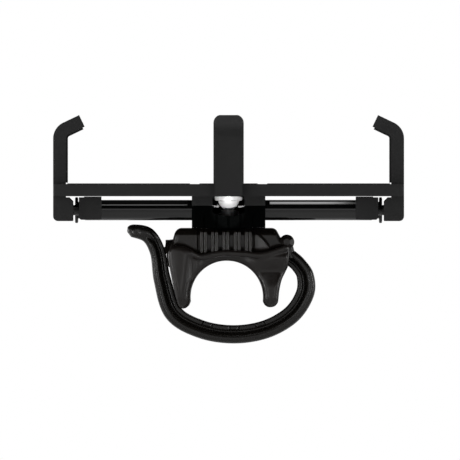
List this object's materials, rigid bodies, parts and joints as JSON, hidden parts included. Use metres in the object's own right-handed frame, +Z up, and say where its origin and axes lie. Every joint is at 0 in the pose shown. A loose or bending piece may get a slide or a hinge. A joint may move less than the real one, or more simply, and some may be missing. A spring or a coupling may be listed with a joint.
{
  "type": "phone handlebar mount",
  "caption": "Swivelling phone tray with screw-driven sliding jaws and a fixed front claw, on a saddle strapped to a handlebar.",
  "frame": {"origin": "on the handlebar's axis, at the middle of the saddle's width", "axes": "+X along the tray, from the left jaw to the right jaw; +Y along the handlebar, away from the front claw; +Z up, from the handlebar to the phone"},
  "size_m": [0.1087, 0.0586, 0.0708],
  "materials": {
    "anodised_aluminium": "matt black anodised, fine blasted grain",
    "moulded_plastic": "satin black moulded nylon",
    "saddle_rubber": "semi-gloss black rubber with fine grain",
    "strap_rubber": "semi-gloss brownish black rubber with fine grain",
    "silicone": "matt black silicone",
    "gloss_black_rod": "polished, black plated",
    "bright_steel": "bright turned steel",
    "black_steel": "blackened steel"
  },
  "bodies": {
    "mount": {"mount_body": "moulded_plastic", "bar_saddle": "saddle_rubber", "pivot_post": "black_steel", "pivot_ball": "bright_steel", "pivot_screw": "black_steel", "friction_washer": "black_steel", "strap_hook": "moulded_plastic", "anchor_pin": "black_steel", "saddle_screw_1": "black_steel", "saddle_screw_2": "black_steel"},
    "strap_root_link": {"strap_root": "strap_rubber"},
    "strap_tail_link": {"strap_tail": "strap_rubber"},
    "head": {"tray": "anodised_aluminium", "left_tray_pad": "silicone", "centre_tray_pad": "silicone", "right_tray_pad": "silicone", "front_claw": "anodised_aluminium", "front_claw_liner": "silicone", "claw_screw_1": "black_steel", "claw_screw_2": "black_steel", "hub_block": "anodised_aluminium", "hub_housing": "moulded_plastic", "ball_retainer": "black_steel", "thrust_washer": "bright_steel", "hub_screw_1": "black_steel", "hub_screw_2": "black_steel", "hub_screw_3": "black_steel", "hub_screw_4": "black_steel", "front_left_rod": "gloss_black_rod", "front_right_rod": "gloss_black_rod", "rear_rod": "gloss_black_rod", "left_lead_screw": "black_steel", "right_lead_screw": "black_steel"},
    "left_jaw": {"left_end_block": "anodised_aluminium", "left_slide_block": "moulded_plastic", "left_front_liner": "silicone", "left_rear_liner": "silicone", "left_tie_screw_1": "black_steel", "left_tie_screw_2": "black_steel"},
    "right_jaw": {"right_end_block": "anodised_aluminium", "right_slide_block": "moulded_plastic", "right_front_liner": "silicone", "right_rear_liner": "silicone", "right_tie_screw_1": "black_steel", "right_tie_screw_2": "black_steel"},
    "left_nut": {"left_thumb_nut": "black_steel"},
    "right_nut": {"right_thumb_nut": "black_steel"}
  },
  "joints": [
    {"name": "head_swivel", "type": "hinge", "parent": "mount", "child": "head", "pos_m": [0.00055, 0, 0.0269], "axis": [0, 0, 1], "continuous": true},
    {"name": "left_jaw_slide", "type": "slide", "parent": "head", "child": "left_jaw", "axis": [1, 0, 0], "range_m": [0, 0.027]},
    {"name": "right_jaw_slide", "type": "slide", "parent": "head", "child": "right_jaw", "axis": [-1, 0, 0], "range_m": [0, 0.027]},
    {"name": "left_nut_turn", "type": "hinge", "parent": "left_jaw", "child": "left_nut", "pos_m": [-0.04655, 0, 0.0269], "axis": [-1, 0, 0], "continuous": true},
    {"name": "right_nut_turn", "type": "hinge", "parent": "right_jaw", "child": "right_nut", "pos_m": [0.04765, 0, 0.0269], "axis": [1, 0, 0], "continuous": true},
    {"name": "strap_root_swing", "type": "hinge", "parent": "mount", "child": "strap_root_link", "pos_m": [0.0186, 0, 0.017], "axis": [0, -1, 0], "range_deg": [0, 25]},
    {"name": "strap_unhook", "type": "hinge", "parent": "strap_root_link", "child": "strap_tail_link", "pos_m": [0.0021, 0, -0.0146], "axis": [0, -1, 0], "range_deg": [0, 70]}
  ],
  "couplings": [
    {"joint": "left_nut_turn", "follows": "left_jaw_slide", "rad_per_m": 2094.4},
    {"joint": "right_nut_turn", "follows": "right_jaw_slide", "rad_per_m": 2094.4},
    {"joint": "strap_root_swing", "follows": "strap_unhook", "ratio": 0.35}
  ]
}
